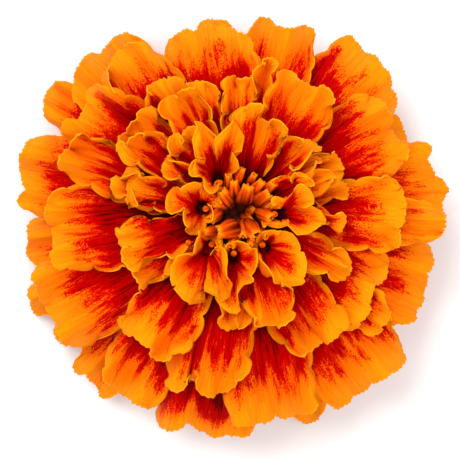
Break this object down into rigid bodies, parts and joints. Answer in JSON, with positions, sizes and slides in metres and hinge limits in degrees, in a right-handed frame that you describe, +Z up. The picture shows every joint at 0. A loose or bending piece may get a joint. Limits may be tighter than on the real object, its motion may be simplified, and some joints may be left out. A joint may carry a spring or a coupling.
{
  "type": "marigold flower head",
  "caption": "Double French marigold head of layered ruffled ray petals round a nest of small disc florets, in a ribbed green cup on a cut stalk stub",
  "frame": {"origin": "on the surface that the head rests on, under the middle of its box", "axes": "+Z up out of the face of the flower, +X to the right and +Y to the top as the face is looked down on"},
  "size_m": [0.057, 0.0559, 0.028],
  "materials": {
    "petal": "soft satin, orange margins over crimson blotches",
    "disc": "soft matte orange brown",
    "green": "smooth satin leaf green"
  },
  "bodies": {
    "root": {"ray_petals": "petal", "disc_florets": "disc", "cup_and_stalk": "green"}
  },
  "joints": []
}
